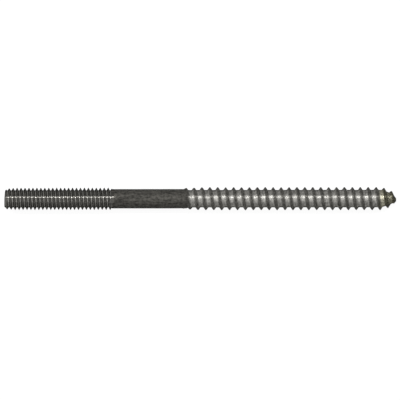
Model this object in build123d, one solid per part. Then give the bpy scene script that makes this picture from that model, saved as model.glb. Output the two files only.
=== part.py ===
"""Hanger bolt, 5/16-18 x 5-1/2 in: one solid of steel bar with a thread rolled into each end.

The bolt lies along X on the plane z = 0, its machine end at -X and its lag point at +X, centred on the
origin. Every length along the bolt is measured from the machine end. The lag thread is a true
right-hand helix. The fine machine thread is stood for by the cylinder and lead taper over its crests.
"""
import math
import os
from build123d import *

# ---- driving dimensions, mm ----
overall_length = 139.7    # 5-1/2 in, machine end to point
machine_length = 38.1     # 1-1/2 in of 5/16-18 thread
machine_d = 7.85          # over the machine thread's crests
lead_d = 7.3              # over the first machine crest
lead_length = 3.5         # the machine crests are at full height from here on
end_rim_d = 6.0           # the end chamfer, at 45 degrees, starts from this rim
end_bevel = 0.35          # how far the rim lies behind the flat in the middle of the end
end_flat_d = 2.4          # that flat
shank_d = 6.9             # plain rolled blank between the threads
lag_length = 76.2         # 3 in of lag thread, point included
lag_pitch = 2.822         # 9 threads per inch
lag_crest_d = 8.25        # over the lag thread's crests
lag_root_d = 6.2          # under its roots
root_land = 1.3           # width of the flat root between two turns of the ridge
run_in = 2.2              # the lag crest makes up all but a third of its height over this length
groove_start = 1.8        # the lag groove starts this far past the first trace of its crest
burial = 0.4              # the start of the lag thread ends this deep below its roots
point_length = 3.8        # length of the cone at the lag end
point_d = 1.6             # root diameter at the tip
stub_d = 0.8              # the core runs on past the tip at this diameter, to be cut away
crest_hold = 6            # power of the crest's fall along the point: a higher one holds it up longer
tip_dome_r = 3.8          # radius of the dome that the tip is pinched off to
tip_dome_half = 45.0      # degrees from the axis to the dome's edge, where a cone takes over
tip_offset = 0.45         # that dome's centre lies this far off the axis
crest_end_angle = 194.0   # degrees about +X from +Y at which the crest reaches the tip

# ---- lag thread: radii along the bolt ----
TURN = 2 * math.pi
tip_x = overall_length
lag_x = tip_x - lag_length
shank_r, crest_r, root_r = shank_d / 2, lag_crest_d / 2, lag_root_d / 2
cone_x = tip_x - point_length
cone_slope = (root_r - point_d / 2) / point_length


def root_at(x):
    """Root radius: a cylinder, then the cone of the point, then a thin stub that the tip cut removes."""
    return max(root_r - cone_slope * max(x - cone_x, 0.0), stub_d / 2)


def crest_at(x):
    """Crest radius: it swells inside the shank, comes out at lag_x, levels off and dies out at the tip."""
    sunk, grown = shank_r - root_r, crest_r - shank_r
    if x < lag_x:
        rise = sunk * math.exp((x - lag_x) / run_in * grown / sunk)
    else:
        rise = sunk + grown * (1 - math.exp((lag_x - x) / run_in))
    t = min(max(x - cone_x, 0.0) / point_length, 1.0)
    return root_at(x) + rise * (1 - t ** crest_hold)


# ---- lag thread: curves and faces ----
FOOT = (lag_pitch - root_land) / 2    # from a crest to the foot of its flank
KNOTS = 17                            # spans in one turn of a curve
NUDGE = 1e-5                          # turns on each side of a point, for its slope


def point_on(turns, shift, radius):
    """Point of the thread at this many turns past the tip, moved along by shift, at radius(x)."""
    x = tip_x + lag_pitch * turns
    angle = math.radians(crest_end_angle) + TURN * turns
    r = radius(x)
    return Vector(x + shift, r * math.cos(angle), r * math.sin(angle))


def turn_curve(first, shift, radius):
    """One turn of a generalised helix as a spline, with true slopes at both ends."""
    at = [first + i / KNOTS for i in range(KNOTS + 1)]
    slopes = [(point_on(t + NUDGE, shift, radius) - point_on(t - NUDGE, shift, radius)) / (2 * NUDGE)
              for t in (at[0], at[-1])]
    return Edge.make_spline([point_on(t, shift, radius) for t in at], tangents=slopes,
                            parameters=[i / KNOTS for i in range(KNOTS + 1)], scale=False)


def end_faces(first, curve):
    """A step and a helicoid that close the thread's band at its start or end, hidden or cut away."""
    foot, top = point_on(first, -FOOT, root_at), point_on(first, 0, crest_at)
    back, after = point_on(first, FOOT, root_at), point_on(first + 1, -FOOT, root_at)
    near, far = Vector(foot.X, 0, 0), Vector(after.X, 0, 0)
    step = Face(Wire.make_polygon([foot, top, back, after, far, near], close=True))
    return [step, Face.make_surface_from_curves(curve, Edge.make_line(near, far))]


def lag_rod():
    """The lag thread on its core, from inside the shank to a turn past the tip, as one closed solid."""
    turns_in = math.ceil(lag_length / lag_pitch) + 1
    starts = range(-turns_in, 1)
    feet = {k: turn_curve(k, -FOOT, root_at) for k in range(-turns_in, 2)}
    faces = end_faces(-turns_in, feet[-turns_in]) + end_faces(1, feet[1])
    for k in starts:
        top, back = turn_curve(k, 0, crest_at), turn_curve(k, FOOT, root_at)
        row = [feet[k], top, back, feet[k + 1]]
        faces += [Face.make_surface_from_curves(a, b) for a, b in zip(row, row[1:])]
    return Solid(Shell(Face.sew_faces(faces)[0]))


def turned(points):
    """Solid of revolution about X from (x, radius) points whose first and last are on the axis."""
    outline = Face(Wire.make_polygon([(x, r, 0) for x, r in points], close=True))
    return revolve(outline, Axis.X, 360)


# ---- the blank: machine end, shank, and a cone that buries the start of the lag thread ----
machine_r = machine_d / 2
chamfer_end = end_bevel + (lead_d - end_rim_d) / 2
shoulder = machine_r - shank_r
groove_x = lag_x + groove_start
bury = shank_r - root_r + burial
blank = turned([
    (0, 0), (0, end_flat_d / 2), (end_bevel, end_rim_d / 2), (chamfer_end, lead_d / 2),
    (lead_length, machine_r), (machine_length, machine_r), (machine_length + shoulder, shank_r),
    (groove_x, shank_r), (groove_x + bury, shank_r - bury), (groove_x + bury, 0),
])

# ---- the tip: a shallow dome that trims the last half turn ----
dome_c, half = tip_x - tip_dome_r, math.radians(tip_dome_half)
dome_mid, dome_end = [(dome_c + tip_dome_r * math.cos(a), tip_dome_r * math.sin(a))
                      for a in (half / 2, half)]
wide, back_x = 2 * crest_r, lag_x - 3 * lag_pitch
flare = (dome_end[0] - (wide - dome_end[1]) * math.tan(half), wide)
keep = Wire([
    Edge.make_line((back_x, 0), (back_x, wide)),
    Edge.make_line((back_x, wide), flare),
    Edge.make_line(flare, dome_end),
    Edge.make_three_point_arc(dome_end, dome_mid, (tip_x, 0)),
    Edge.make_line((tip_x, 0), (back_x, 0)),
])
aside = math.radians(crest_end_angle)
pinch = Location((0, tip_offset * math.cos(aside), tip_offset * math.sin(aside)))
lag = lag_rod() & revolve(Face(keep), Axis.X, 360).moved(pinch)

bolt = (blank + lag).moved(Location((-overall_length / 2, 0, crest_r)))
bolt = bolt.solids()[0]
bolt.label = "hanger_bolt"

os.makedirs("parts", exist_ok=True)
export_step(bolt, "parts/hanger_bolt.step")
print("hanger_bolt", "valid", bolt.is_valid, "volume", round(bolt.volume, 1), bolt.bounding_box())
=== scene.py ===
# %% [markdown]
# # A hanger bolt
# A hanger bolt is a length of steel bar with a thread rolled into each end: a fine machine thread
# for a nut, a plain shank left as it was drawn, and a coarse lag thread with a gimlet point for wood.
# The whole bolt is one piece of metal, so here it is one closed mesh. Both threads could be cut with
# booleans, but a surface that is worked out directly gives clean faces that run along each helix.
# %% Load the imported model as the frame
import math
import bpy
import numpy as np
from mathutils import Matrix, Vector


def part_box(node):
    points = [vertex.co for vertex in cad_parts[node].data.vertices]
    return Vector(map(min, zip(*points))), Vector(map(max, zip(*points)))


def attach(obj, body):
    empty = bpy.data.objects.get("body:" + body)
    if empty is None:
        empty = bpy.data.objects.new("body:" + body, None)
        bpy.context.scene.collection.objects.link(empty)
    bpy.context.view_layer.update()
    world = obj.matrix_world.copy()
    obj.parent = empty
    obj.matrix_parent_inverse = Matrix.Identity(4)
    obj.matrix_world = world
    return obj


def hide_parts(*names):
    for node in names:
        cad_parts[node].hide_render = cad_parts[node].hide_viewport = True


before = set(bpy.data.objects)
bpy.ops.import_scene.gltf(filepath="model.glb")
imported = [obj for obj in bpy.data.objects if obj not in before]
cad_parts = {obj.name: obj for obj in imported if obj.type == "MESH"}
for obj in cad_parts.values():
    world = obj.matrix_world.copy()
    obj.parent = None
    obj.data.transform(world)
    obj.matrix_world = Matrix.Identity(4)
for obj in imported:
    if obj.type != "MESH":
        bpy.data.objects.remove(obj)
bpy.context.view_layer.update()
low, high = (np.array(corner) * 1000 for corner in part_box("hanger_bolt"))
print("packed bolt, mm:", np.round(high - low, 2))

# %% [markdown]
# ## Sizes
# A real bolt of this kind is drawn from a handful of numbers: where each thread starts and ends, its
# pitch, and its radii over the crests and under the roots. All are in millimetres, and lengths along
# the bolt run from the machine end to the point. The length and the axis come from the frame. Phase
# is the place of one crest on the side of the bolt that faces +Y.
# %% Sizes of the bolt
LENGTH = float(high[0] - low[0])
AXIS_Z = float(low[2] + high[2]) / 2
TURN = 2 * math.pi
STEPS = 96                     # faces in one turn of any helix or ring
INCH = 25.4

machine = dict(pitch=INCH / 18, crest=3.96, root=3.04, end=1.5 * INCH, phase=35.65)
lag = dict(pitch=INCH / 9, crest=4.125, root=3.10, start=2.5 * INCH, phase=135.37)
shank_radius = 3.45
print("bolt length", round(LENGTH, 2), "mm, axis", round(AXIS_Z, 3), "mm above the floor")

# %% [markdown]
# ## Small helpers for shapes
# Rolled steel is never a perfect helix. A sum of a few waves with whole numbers of turns closes on
# itself all round the bolt, needs no random numbers, and is enough to make each crest a little
# different from the next. A smooth step fades one form into another without a visible line.
# %% Fades
def fade(x, start, end):
    """0 before start, 1 after end, and between them 3t^2 - 2t^3 of the way t from one to the other."""
    t = np.clip((x - start) / (end - start), 0.0, 1.0)
    return t * t * (3 - 2 * t)


def soft_clip(t, at_foot, at_top):
    """t held between 0 and 1; each corner is a parabola that reaches at_foot or at_top to each side."""
    def ramp(s, width):
        return np.where(s < -width, 0.0, np.where(s > width, s, (s + width) ** 2 / (4 * width)))
    return ramp(t, at_foot) - ramp(t - 1.0, at_top)


print("halfway through a fade:", fade(0.5, 0, 1))


# %% Waves
WAVES = 6


def ripple(x, angle, length, seed):
    """Smooth unevenness from about -1 to 1: the sum of six waves that run along and round the bolt.

    Wave k is sin(a*x/length + m*angle + p), where a, the whole number m and p come from seed and k.
    """
    total = np.zeros(np.broadcast(x, angle).shape)
    for k in range(WAVES):
        along = TURN * (0.45 + 0.9 * math.modf(math.sin(seed * 12.9 + k * 4.1) * 437.5)[0] ** 2)
        turns = round(3.4 * math.sin(seed * 3.7 + k * 2.3))
        total += np.sin(along * x / length + turns * angle + seed * (k + 1) * 2.1)
    return total / math.sqrt(WAVES * 2)


trial = ripple(np.linspace(0, LENGTH, 500), 0.0, 8.0, 3.3)
print("unevenness runs from", round(trial.min(), 2), "to", round(trial.max(), 2))


# %% [markdown]
# ## Where a point lies on a thread
# Every part of a thread is described by one number: how far along the bolt a point is from the
# nearest crest. On a right-hand thread a crest moves forward by one pitch for each turn. The shape
# needs that distance alone; the polish of the flanks also asks on which side of the crest it is.
# %% Distance from a crest
def past_crest(x, angle, thread):
    """Distance along the bolt past the nearest crest of a right-hand thread, below 0 ahead of it."""
    turns = (x - thread["phase"]) / thread["pitch"] - angle / TURN
    return thread["pitch"] * (turns - np.round(turns))


def from_crest(x, angle, thread):
    """Distance to the nearest crest on either side, so at most half the pitch."""
    return np.abs(past_crest(x, angle, thread))


print("a root lies", round(from_crest(lag["phase"] + lag["pitch"] / 2, 0.0, lag), 3), "mm from a crest")


# %% [markdown]
# ## The machine thread
# The fine thread is a V of sixty degrees with a narrow flat on its crests and a rounded root. Its
# first turns are lower, where the bar was chamfered, and at the shank the groove simply stops,
# because the rolling dies end there. The radius is worked out for every point round and along.
# %% Radius over the machine thread
CREST_FLAT, ROOT_FLAT = 0.08, 0.14          # half of each, along the bolt
ROOT_ROUND, CREST_ROUND = 0.2, 0.14         # reach of the rounded corners, in shares of the flank
LEAD_DROP = 0.42                            # the whole fall of the crests towards the end
LEAD_FROM, LEAD_TO = -1.5, 4.4              # where that fall lies; part of it is past the end
CHAMFER_FOOT = 2.98                         # radius at which the end's 45 degree chamfer starts
CHAMFER_AT = 0.22                           # and how far from the end


def machine_radius(x, angle):
    """Root radius plus the V's height times a rounded ramp, 1 at the crest and 0 in the root.

    The crests are lower near the end, and a chamfer at 45 degrees cuts off the first of them.
    """
    away = from_crest(x, angle, machine)
    foot = machine["pitch"] / 2 - ROOT_FLAT
    shape = soft_clip((foot - away) / (foot - CREST_FLAT), ROOT_ROUND, CREST_ROUND)
    full = machine["crest"] + 0.025 * ripple(x, angle, 6.0, 1.7)
    crest = full - LEAD_DROP * (1 - fade(x, LEAD_FROM, LEAD_TO))
    root = machine["root"] + 0.015 * ripple(x, angle, 5.0, 4.2)
    chamfer = CHAMFER_FOOT + np.maximum(x - CHAMFER_AT, 0.0)
    return np.minimum(root + (crest - root) * shape, chamfer)


print("machine thread:", round(machine["end"] / machine["pitch"], 1), "turns")


# %% [markdown]
# ## The lag thread
# The coarse thread is a tall narrow ridge on a rounder core. Rolling squeezes the ridge up out of the
# bar: the first turns are low and blunt, the later ones are full. Towards the point the core narrows
# like a bullet and the ridge follows it down, so that the bolt can bite into a pilot hole.
# %% Radius over the lag thread
POINT_START = 134.4            # the core begins to narrow here
POINT_SPAN = LENGTH - POINT_START + 0.05
BULLET = 0.475                 # power of the core's fall: a half would be a true parabola
RISE_LENGTH = 2.2              # a new ridge makes up all but a third of its height over this
LATE_SHARE = 0.07              # but this share of it comes later,
LATE_LENGTH = 12.0             # over this length
FALL_START, FALL_SPAN = 137.7, 1.6          # the ridge dies out at the tip here, over this
CREST_HALF = 0.12              # half the flat on the ridge, which is twice as wide in the first turns
FOOT = 0.80                    # from the ridge's crest to the foot of its flank, along the bolt
FOOT_ROUND, TOP_ROUND = 0.30, 0.16          # reach of its rounded corners, in shares of the flank


def lag_root(x):
    """Core radius: constant, then times (1 - u)^BULLET, a blunt bullet, as u goes from 0 to 1."""
    u = np.clip((x - POINT_START) / POINT_SPAN, 0.0, 1.0)
    return lag["root"] * (1 - u) ** BULLET


def lag_rise(x):
    """Ridge height: full height times two factors that grow with the distance d from the start.

    They are 1 - exp(-d / RISE_LENGTH) and 1 - LATE_SHARE * exp(-d / LATE_LENGTH). At the tip the
    height also falls by 1 - t^2 as t goes from 0 to 1.
    """
    along = np.maximum(x - lag["start"], 0.0)
    grown = 1 - np.exp(-along / RISE_LENGTH)
    late = 1 - LATE_SHARE * np.exp(-along / LATE_LENGTH)
    gone = np.clip((x - FALL_START) / FALL_SPAN, 0.0, 1.0)
    return (lag["crest"] - lag["root"]) * grown * late * (1 - gone ** 2)


def lag_radius(x, angle):
    """Core radius plus the ridge's height times a rounded ramp, 1 at its crest and 0 from its foot on.

    The ridge is blunt in its first turns and widens at the tip, and no crest stands higher than the
    gap between the dies.
    """
    away = from_crest(x, angle, lag)
    young = 1 - fade(x, lag["start"] + 2, lag["start"] + 16)
    flat = CREST_HALF * (1 + young) + 0.02 * ripple(x, angle, 9.0, 2.9)
    foot = FOOT + 0.05 * ripple(x, angle, 7.0, 5.1) + 0.25 * fade(x, 136.5, 138.5)
    shape = soft_clip((foot - away) / (foot - flat), FOOT_ROUND, TOP_ROUND)
    height = lag_rise(x) * (1 + 0.035 * ripple(x, angle, 8.0, 3.3))
    core = lag_root(x) * (1 + 0.006 * ripple(x, angle, 6.5, 6.4))
    return np.minimum(core + height * shape, lag["crest"])


print("lag thread:", round((LENGTH - lag["start"]) / lag["pitch"], 1), "turns")


# %% [markdown]
# ## One radius for the whole bolt
# The plain shank lies between the threads. It is thinner than either thread's crests and thicker
# than their roots, because rolling moves metal out of the grooves and up into the ridges. Each
# groove ends over a short distance, so the three radii are faded into each other there.
# %% Radius over the whole bolt
def bolt_radius(x, angle):
    """The machine thread's, the shank's and the lag thread's radius, faded over the grooves' ends."""
    bar = shank_radius + 0.012 * ripple(x, angle, 11.0, 7.7)
    to_shank = fade(x, machine["end"] - 0.35, machine["end"] + 0.55 + 0.1 * np.cos(angle))
    rolled = machine_radius(x, angle) * (1 - to_shank) + bar * to_shank
    ridge = shank_radius + lag_radius(x, angle) - lag_root(x)
    to_groove = fade(x, lag["start"] + 1.35, lag["start"] + 2.25)
    threaded = np.maximum(bar, ridge) * (1 - to_groove) + lag_radius(x, angle) * to_groove
    mid_shank = (machine["end"] + lag["start"]) / 2
    return np.where(x < mid_shank, rolled, threaded)


print("radius at mid shank:", round(float(bolt_radius(50.0, 0.0)), 3), "mm")


# %% [markdown]
# ## From radius to mesh
# If the rows of a grid run straight round the bolt, every crest crosses them at a slant and comes out
# ragged. So the rows here wind along the helix: one column of faces is one step round, and the rows
# across it are set closer together at the crests and roots. After a full turn the last row lands
# exactly on the first row of the next turn. At a thread's ends the rows are pressed flat against a
# ring, and the points that fall together there are welded, which leaves a clean closed edge.
# %% Points and faces
def place(x, angle, radius):
    """Points in millimetres: along the bolt, and radius times cosine and sine of the angle round it."""
    x, angle, radius = np.broadcast_arrays(x, angle, radius)
    return np.stack([x, radius * np.cos(angle), radius * np.sin(angle)], axis=-1)


def faces_between(a, b, c, d):
    """Two triangles for every four corners, given in order round each face, clockwise from outside."""
    corners = [np.stack(three, axis=-1).reshape(-1, 3) for three in ((a, c, b), (a, d, c))]
    return np.concatenate(corners)


# %% Grids that wind round the bolt
def wound_patch(thread, marks, first_x, last_x):
    """A threaded stretch between two rings, with rows that follow the thread.

    Row m of step s lies at phase + pitch * (s / STEPS + mark m), held between first_x and last_x.
    """
    pitch = thread["pitch"]
    first = math.floor((first_x - thread["phase"]) / pitch) - 2
    last = math.ceil((last_x - thread["phase"]) / pitch) + 1
    step = np.arange(first * STEPS, last * STEPS + 1)
    x = thread["phase"] + pitch * (step[:, None] / STEPS + np.asarray(marks)[None, :])
    x = np.clip(x, first_x, last_x)
    angle = np.broadcast_to(TURN * (step % STEPS)[:, None] / STEPS, x.shape)
    points = place(x, angle, bolt_radius(x, angle)).reshape(-1, 3)
    rows = len(marks)
    at = np.arange(len(step) * rows).reshape(len(step), rows)
    inner = faces_between(at[:-1, :-1], at[:-1, 1:], at[1:, 1:], at[1:, :-1])
    over = faces_between(at[:-1 - STEPS, -1], at[STEPS:-1, 0], at[STEPS + 1:, 0], at[1:-STEPS, -1])
    return points, np.concatenate([inner, over])


# %% Rings, and the weld
def ring_patch(x, radius):
    """Rings round the bolt at each x with the radius given for it, joined to each other in order."""
    angle = TURN * np.arange(STEPS) / STEPS
    points = place(np.asarray(x)[:, None], angle[None, :], radius).reshape(-1, 3)
    at = np.arange(len(points)).reshape(-1, STEPS)
    on = np.roll(at, -1, axis=1)
    return points, faces_between(at[:-1], at[1:], on[1:], on[:-1])


def welded(patches):
    """All patches as one mesh: points within a tenth of a micron become one, and faces with no area go."""
    points = np.concatenate([p for p, f in patches])
    starts = np.cumsum([0] + [len(p) for p, f in patches[:-1]])
    faces = np.concatenate([f + start for (p, f), start in zip(patches, starts)])
    _, keep, new = np.unique(np.round(points, 4), axis=0, return_index=True, return_inverse=True)
    faces = new.reshape(-1)[faces]
    a, b, c = faces.T
    return points[keep], faces[(a != b) & (b != c) & (c != a)]


# %% [markdown]
# ## The rows across each thread
# A thread needs faces where its section bends: at the crest, the foot of each flank and the root.
# The marks are distances from a crest to the middle of the root, and they are mirrored on the way
# from there to the next crest.
# %% Rows across the threads
machine_marks = np.array([0, .045, .10, .22, .35, .47, .57, .64, .7055])
lag_marks = np.array([0, .07, .16, .30, .46, .62, .76, .90, 1.10, 1.411])


def both_flanks(marks, pitch):
    """The marks, and their mirror images on the way to the next crest, as shares of the pitch."""
    return np.concatenate([marks, pitch - marks[-2:0:-1]]) / pitch


machine_rows = both_flanks(machine_marks, machine["pitch"])
lag_rows = both_flanks(lag_marks, lag["pitch"])
print("rows across a pitch:", len(machine_rows), "machine,", len(lag_rows), "lag")

# %% [markdown]
# ## The ends
# The machine end was sheared off the bar: it is a very shallow cone with rounded shoulders. The point
# is pinched off between the dies, which leaves a small dome. Rings that shrink to a single point
# close both ends, and plain rings make the shank.
# %% End faces and shank
end_ring, shank_first = 0.35, machine["end"] + 1.0
shank_last, tip_ring = lag["start"] - 1.6, LENGTH - 0.25
around = TURN * np.arange(STEPS) / STEPS

end_x = np.array([0.0, .03, .06, .09, .13, .18, .24, .30, end_ring])
end_share = np.array([0.0, .18, .40, .60, .78, .90, .955, .985, 1.0])
end_face = ring_patch(end_x, end_share[:, None] * bolt_radius(end_ring, around)[None, :])

shank_x = np.linspace(shank_first, shank_last, 45)
shank = ring_patch(shank_x, bolt_radius(shank_x[:, None], around[None, :]))

dome = np.linspace(0, math.pi / 2, 8)
tip_radius = np.cos(dome)[:, None] * bolt_radius(tip_ring, around)[None, :]
tip_face = ring_patch(tip_ring + (LENGTH - tip_ring) * np.sin(dome), tip_radius)
print("end face, shank and tip:", [len(p) for p, f in (end_face, shank, tip_face)], "points")

# %% The whole surface
points, faces = welded([
    end_face,
    wound_patch(machine, machine_rows, end_ring, shank_first),
    shank,
    wound_patch(lag, lag_rows, shank_last, tip_ring),
    tip_face,
])
sides = np.sort(np.concatenate([faces[:, [0, 1]], faces[:, [1, 2]], faces[:, [2, 0]]]), axis=1)
_, uses = np.unique(sides, axis=0, return_counts=True)
corner_a, corner_b, corner_c = (points[faces[:, k]] for k in range(3))
volume = np.einsum("ij,ij->i", corner_a, np.cross(corner_b, corner_c)).sum() / 6
print("bolt mesh:", len(points), "points,", len(faces), "triangles,", int((uses != 2).sum()), "open sides")
print("volume inside:", round(volume), "cubic mm, above 0 where the faces point outwards")


# %% [markdown]
# ## Uneven ends
# Neither end is quite true. The shears push the middle of the machine end to one side and leave its
# far edge leaning back, and the pinched tip lies a little off the axis. Both are small moves of
# points that are already there, so the mesh stays closed.
# %% Bend the ends
END_LEAN = 0.045               # mm back for each mm across
LEAN_REACH = 1.2               # no lean is left this far from the end
TIP_SLIDE = 0.4                # mm towards -Y
SLIDE_FROM = 138.0             # where the slide begins


def settle(points):
    """x grows by END_LEAN times y near the machine end, and y falls by TIP_SLIDE near the tip."""
    x, y, z = points.T
    lean = END_LEAN * y * (1 - fade(x, 0.0, LEAN_REACH))
    aside = TIP_SLIDE * fade(x, SLIDE_FROM, LENGTH - 0.2)
    return np.stack([x + lean, y - aside, z], axis=-1)


settled = settle(points)
print("largest move at the ends:", round(float(np.abs(settled - points).max()), 2), "mm")

# %% The bolt as a Blender object
in_frame = (settled + [low[0], 0, AXIS_Z]) / 1000
mesh = bpy.data.meshes.new("bolt_body")
mesh.from_pydata(in_frame.tolist(), [], faces.tolist())
mesh.validate()
mesh.shade_smooth()
bolt = bpy.data.objects.new("bolt_body", mesh)
bpy.context.scene.collection.objects.link(bolt)
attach(bolt, "root")
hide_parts("hanger_bolt")
print("lowest point:", round(float(in_frame[:, 2].min()) * 1000, 3), "mm")

# %% [markdown]
# ## What the surface knows about itself
# The rolling dies press hardest in the roots and polish them bright, while the crests are only
# squeezed up between the dies and keep the bar's dark film. The flanks get a burnished tone, and on
# the lag thread the flank that faces the point is painted darker, as shade from light that comes
# from the machine end. The steel near the point is stained.
# These patterns follow the helix, so they are worked out with the same formula as the shape and
# handed to the material as values on each point.
# %% Which stretch of the bolt each point lies on
STAIN_EDGE, DARK_EDGE = (132.8, 134.8), (136.2, 137.2)      # where the stain begins, and deepens
x, angle = points[:, 0], np.arctan2(points[:, 2], points[:, 1])
on_lag = fade(x, lag["start"] + 1.7, lag["start"] + 2.4)
on_machine = 1 - fade(x, machine["end"] - 0.1, machine["end"] + 0.6)
near_machine = 1 - fade(x, machine["end"] + 0.6, machine["end"] + 2.2)
off_end = fade(x, 0.1, 0.5)
near_tip, very_tip = fade(x, *STAIN_EDGE), fade(x, *DARK_EDGE)
from_lag, from_machine = from_crest(x, angle, lag), from_crest(x, angle, machine)
print("share of the points on the lag thread:", round(float(on_lag.mean()), 2))

# %% Where the dies polished the steel
LAG_CREST_POLISH, MACHINE_CREST_POLISH = 0.09, 0.26         # the roots have 1
FAR_FLANK_PAINTED_SHADE = 0.6           # painted shade: the lag flank facing the point is this much darker
MACHINE_BURNISH = 0.1          # the machine thread's flanks, where the lag thread's have 1
lag_root_side = fade(from_lag - 0.15 * near_tip, 0.2, 0.76)
lag_polish = LAG_CREST_POLISH + (1 - LAG_CREST_POLISH) * lag_root_side
machine_root_side = fade(from_machine, 0.13, 0.52)
machine_polish = MACHINE_CREST_POLISH + (1 - MACHINE_CREST_POLISH) * machine_root_side
polished = on_lag * lag_polish + on_machine * off_end * machine_polish

lag_flank_burnish_and_light = on_lag * fade(from_lag, 0.12, 0.42) * (1 - fade(from_lag, 0.7, 1.05))
# Painted shade: the flank past each crest, which faces the point, keeps less of the lighter tone.
lag_flank_burnish_and_light *= 1 - FAR_FLANK_PAINTED_SHADE * fade(past_crest(x, angle, lag), -0.1, 0.1)
machine_flank = on_machine * MACHINE_BURNISH * fade(from_machine, 0.2, 0.5)
print("mean polish:", round(float(polished.mean()), 3))

# %% [markdown]
# Rolling also leaves fine marks that run round the bolt, over crest, flank and root alike. They
# spread light as a plain round bar would, which is why the bright line on a rolled thread is
# almost unbroken. The next value is the share of the sheen that comes from those marks.
# %% Where fine marks run round the bolt
LAG_CREST_MARKS, LAG_ROOT_MARKS, MACHINE_MARKS = 0.38, 0.27, 0.13
MARKS_FADE = (136.5, 138.0)    # no marks run round the pinched tip
crest_to_root = fade(from_lag, 0.35, 0.95)
lag_marked = LAG_CREST_MARKS + (LAG_ROOT_MARKS - LAG_CREST_MARKS) * crest_to_root
lag_marked = lag_marked * on_lag * (1 - fade(x, *MARKS_FADE))
marked = np.maximum(lag_marked, on_machine * off_end * MACHINE_MARKS)


def keep_on_points(name, values):
    """Stores one number for each point of the bolt, under a name that the material reads."""
    layer = mesh.attributes.new(name, "FLOAT", "POINT")
    layer.data.foreach_set("value", np.asarray(values, dtype=np.float32))
    print(name, "mean", round(float(np.mean(values)), 3))


keep_on_points("polished", polished)
keep_on_points("flank_burnish_and_painted_light", lag_flank_burnish_and_light + machine_flank)
keep_on_points("threaded", np.maximum(on_lag, on_machine))
keep_on_points("fine_thread", near_machine)
keep_on_points("rolled_round", marked)
keep_on_points("tip_stain", near_tip)
keep_on_points("very_tip", very_tip)


# %% [markdown]
# ## Writing shader maths as sums
# A material is a network of nodes. Written as plain expressions it is much easier to read, so a small
# class wraps one socket and turns the operators into Math nodes.
# %% A socket that can be added and multiplied
class Value:
    """One output socket of a node tree; arithmetic on it adds Math nodes."""

    def __init__(self, tree, socket=None):
        self.tree, self.socket = tree, socket

    def node(self, kind, inputs=(), output=0, **settings):
        """Adds a node of a kind, sets its settings first and then its inputs, and returns one output."""
        made = self.tree.nodes.new(kind)
        for name, value in settings.items():
            setattr(made, name, value)
        for name, value in dict(inputs).items():
            if isinstance(value, Value):
                self.tree.links.new(value.socket, made.inputs[name])
            else:
                made.inputs[name].default_value = value
        return Value(self.tree, made.outputs[output] if made.outputs else None)

    def maths(self, operation, first, second):
        """A Math node on two values or numbers."""
        return self.node("ShaderNodeMath", {0: first, 1: second}, operation=operation)

    def __add__(self, other):
        return self.maths("ADD", self, other)

    def __sub__(self, other):
        return self.maths("SUBTRACT", self, other)

    def __rsub__(self, other):
        return self.maths("SUBTRACT", other, self)

    def __mul__(self, other):
        return self.maths("MULTIPLY", self, other)

    __radd__, __rmul__ = __add__, __mul__

    def or_else(self, other):
        """The larger of two values."""
        return self.maths("MAXIMUM", self, other)

    def noise(self, scale, detail, stretch=(1, 1, 1), roughness=0.55):
        """Noise with a mean of 0.5 at these coordinates, each times its factor in stretch.

        Scale is the number of its cells in a metre.
        """
        spot = self.node("ShaderNodeMapping", {"Vector": self, "Scale": stretch})
        return self.node("ShaderNodeTexNoise", {"Vector": spot, "Scale": scale, "Detail": detail,
                                                "Roughness": roughness})

    def between(self, start, end):
        """0 where this is under start, 1 where it is over end, and a smooth step between them."""
        return self.node("ShaderNodeMapRange", {"Value": self, "From Min": start, "From Max": end},
                         interpolation_type="SMOOTHSTEP")

    def colour(self, first, second):
        """The first colour where this is 0, the second where it is 1."""
        return self.node("ShaderNodeMix", {0: self, 6: first, 7: second}, output=2, data_type="RGBA")


# %% Start of a material
def emptied(owner):
    """A Value to start expressions from, in the emptied node tree of a material or a world."""
    owner.use_nodes = True
    owner.node_tree.nodes.clear()
    return Value(owner.node_tree)


def tinted(level, red=1.0, blue=1.0):
    """A linear colour of that level, with its red and blue changed by factors."""
    return (level * red, level, level * blue, 1.0)


# %% [markdown]
# ## Dark rolled steel
# Plain steel straight from the rolling machine is covered in a thin dark film of oil and scale. The
# difference between the dull shank and the bright roots of the threads lies in the steel's colour,
# gloss and polish. The film is uneven in four ways: soft mottles, a fine grain, long drawing marks
# along the shank, and short rolling marks across the threads. Finer scratches show as bumps alone.
# %% Patterns in the film
steel = bpy.data.materials.new("rolled_steel")
s = emptied(steel)
where = s.node("ShaderNodeTexCoord", output="Object")


def from_points(name):
    """A value stored on the points of the mesh."""
    return s.node("ShaderNodeAttribute", output="Fac", attribute_name=name, attribute_type="GEOMETRY")


polish, flank = from_points("polished"), from_points("flank_burnish_and_painted_light")
threaded, fine = from_points("threaded"), from_points("fine_thread")
stain, very_tip = from_points("tip_stain"), from_points("very_tip")
marks_share = from_points("rolled_round")

mottle = where.noise(1100.0, 2.0).between(0.32, 0.68)
grain = where.noise(4200.0, 2.0).between(0.3, 0.7)
drawn = where.noise(2600.0, 2.0, stretch=(0.12, 1, 1)).between(0.35, 0.65)
rolled = where.noise(3000.0, 2.0, stretch=(1, 0.3, 0.3)).between(0.35, 0.65)
speck = where.noise(2400.0, 5.0, roughness=0.7).between(0.38, 0.62)
scratches = where.noise(12000.0, 1.0, stretch=(1, 0.02, 0.02)) * threaded * (1 - fine * 0.9)
along_or_across = drawn * (1 - threaded) + rolled * threaded
tone = mottle * 0.4 + grain * 0.25 + along_or_across * 0.35
print("patterns read", where.socket.name, "coordinates")
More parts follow.
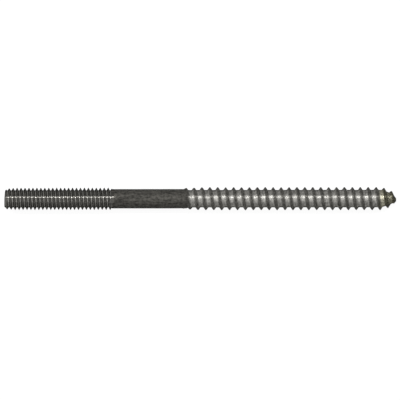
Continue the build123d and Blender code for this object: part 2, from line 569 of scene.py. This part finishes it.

# %% [markdown]
# The steel's colour goes from the film on shank and crests to bright metal in the roots, with a
# burnished tone on the flanks, which on the lag thread also holds painted light: it is lighter on the
# flank that faces the machine end. Each is a dark and a light colour that the patterns above mix. Near
# the point the film is brown and the roots are a pale cream.
# %% Colour of the steel
film = tone.colour(tinted(0.009, 1.03, 0.90), tinted(0.076, 1.04, 0.90))
lag_bright = tone.colour(tinted(0.075, 1.02, 0.93), tinted(0.25, 1.02, 0.94))
machine_bright = tone.colour(tinted(0.125, 1.02, 0.93), tinted(0.21, 1.02, 0.94))
burnished = tone.colour(tinted(0.13, 1.02, 0.93), tinted(0.38, 1.02, 0.94))
bright = fine.colour(lag_bright, machine_bright)
# The flank value holds burnish and, on the lag thread, painted light on the flank facing the machine end.
clean = polish.colour(film, flank.colour(bright, burnished))
brown = speck.colour(tinted(0.001, 1.10, 0.35), tinted(0.050, 1.06, 0.60))
cream = speck.colour(tinted(0.09, 1.05, 0.72), tinted(0.34, 1.04, 0.80))
stained = (polish * (1 - very_tip * 0.6)).colour(brown, cream)
base = stain.colour(clean, stained)
print("colours mixed:", base.socket.name)

# %% [markdown]
# Two sheens lie over that colour. The first follows the bumps of the real surface. The second
# belongs to the fine marks round the bolt: its normal points straight out from the bolt's axis, as
# on a round bar. The fine thread is the glossiest part and the shank the dullest.
# %% Gloss, bumps and the two sheens
metal = (polish * 0.5 + 0.5) * (1 - fine) + fine * 0.90
rough = 0.57 - (threaded * 0.22).or_else(fine * 0.47) + grain * (0.08 - fine * 0.05)
pits = mottle * 0.4 + grain * 0.3 + along_or_across * 0.3
height = pits * (1 - (threaded * 0.35).or_else(fine * 0.9)) + scratches
bump = s.node("ShaderNodeBump", {"Height": height, "Strength": 0.5, "Distance": 0.00003})

from_axis = s.node("ShaderNodeVectorMath", {0: where, 1: (0, 1, 1), 2: (0, 0, -AXIS_Z / 1000)},
                   operation="MULTIPLY_ADD")
in_world = s.node("ShaderNodeVectorTransform", {"Vector": from_axis}, vector_type="NORMAL",
                  convert_from="OBJECT", convert_to="WORLD")
outward = s.node("ShaderNodeVectorMath", {0: in_world}, operation="NORMALIZE")


def sheen(normal, roughness):
    """A shader of this steel with its own normal and roughness; its edges reflect little."""
    return s.node("ShaderNodeBsdfPrincipled", {
        "Base Color": base, "Metallic": metal, "Specular Tint": tinted(0.05),
        "Roughness": roughness, "Normal": normal})


both = s.node("ShaderNodeMixShader", {
    0: marks_share, 1: sheen(bump, rough), 2: sheen(outward, 0.33 - fine * 0.20)})
s.node("ShaderNodeOutputMaterial", {"Surface": both})
mesh.materials.append(steel)
print("steel nodes:", len(steel.node_tree.nodes))


# %% [markdown]
# ## Floor and surroundings
# The bolt lies on plain white paper in an even white room. The camera and the reflections see both
# as white, but the light that they give is a tenth of that or less, so the background stays white
# without washing the bolt out. The paper's own grey still takes the bolt's shadow.
# %% Floor
def seen_by_eye(start):
    """1 for rays from the camera and for mirror or glass rays, 0 for rays that gather light."""
    camera_ray, glossy_ray, glass_ray = (
        start.node("ShaderNodeLightPath", output=kind)
        for kind in ("Is Camera Ray", "Is Glossy Ray", "Is Transmission Ray"))
    return camera_ray.or_else(glossy_ray).or_else(glass_ray)


PAPER_GREY = 0.09              # the paper's own colour, on which the shadow falls
PAPER_GLOW = 0.93              # what the eye sees on top of that
paper = bpy.data.materials.new("white_paper")
s = emptied(paper)
sheet = s.node("ShaderNodeBsdfDiffuse", {"Color": tinted(PAPER_GREY)})
glow = s.node("ShaderNodeEmission", {"Color": tinted(1.0), "Strength": seen_by_eye(s) * PAPER_GLOW})
s.node("ShaderNodeOutputMaterial", {"Surface": s.node("ShaderNodeAddShader", {0: sheet, 1: glow})})
half = 1.0
corners = [(-half, -half, 0), (half, -half, 0), (half, half, 0), (-half, half, 0)]
floor_mesh = bpy.data.meshes.new("floor")
floor_mesh.from_pydata(corners, [], [(0, 1, 2, 3)])
floor_mesh.materials.append(paper)
floor = bpy.data.objects.new("floor", floor_mesh)
bpy.context.scene.collection.objects.link(floor)
print("floor", 2 * half, "m wide")

# %% World
ROOM_LIGHT = 0.1               # light from the room; to the eye its walls have 1
world = bpy.data.worlds.new("studio")
bpy.context.scene.world = world
s = emptied(world)
strength = ROOM_LIGHT + seen_by_eye(s) * (1 - ROOM_LIGHT)
walls = s.node("ShaderNodeBackground", {"Color": tinted(1.0), "Strength": strength})
s.node("ShaderNodeOutputWorld", {"Surface": walls})
print("world nodes:", len(world.node_tree.nodes))


# %% [markdown]
# ## Lamps
# A wide soft box overhead gives the broad grey sheen, and a long narrow lamp beside it, parallel to
# the bolt, draws the thin bright line that runs over both threads.
# %% Lamps
def lamp(name, size, radiance, distance, lean, along):
    """A rectangular soft lamp that faces the bolt's axis, lean degrees from straight above to +Y.

    Its power is radiance * pi * area, for a lamp that looks equally bright from every side.
    """
    data = bpy.data.lights.new(name, "AREA")
    data.shape = "RECTANGLE"
    data.size, data.size_y = size
    data.energy = radiance * math.pi * size[0] * size[1]
    made = bpy.data.objects.new(name, data)
    tip_by = math.radians(lean)
    made.location = (along, distance * math.sin(tip_by), distance * math.cos(tip_by))
    made.rotation_euler = (-tip_by, 0, 0)
    bpy.context.scene.collection.objects.link(made)
    print(name, "gives", round(data.energy, 2), "W")


lamp("overhead_box", (0.9, 1.2), radiance=1.28, distance=0.8, lean=-8, along=-0.2)
lamp("strip", (2.0, 0.085), radiance=18.9, distance=0.7, lean=21.5, along=-0.2)

# %% [markdown]
# ## Camera
# The camera looks straight down with no perspective. It is turned by a twentieth of a degree, so
# that the bolt doesn't lie quite level in the picture.
# %% Camera
VIEW_WIDTH, VIEW_X, VIEW_Y = 0.14255, -0.00007, -0.000457   # metres
VIEW_TURN = math.radians(-0.05)
camera_data = bpy.data.cameras.new("camera")
camera_data.type = "ORTHO"
camera_data.ortho_scale = VIEW_WIDTH
camera = bpy.data.objects.new("camera", camera_data)
camera.location = (VIEW_X, VIEW_Y, 0.5)
camera.rotation_euler = (0, 0, VIEW_TURN)
bpy.context.scene.collection.objects.link(camera)
bpy.context.scene.camera = camera
bpy.context.scene.view_settings.view_transform = "Standard"
print("the view is", round(VIEW_WIDTH * 1000, 1), "mm wide")
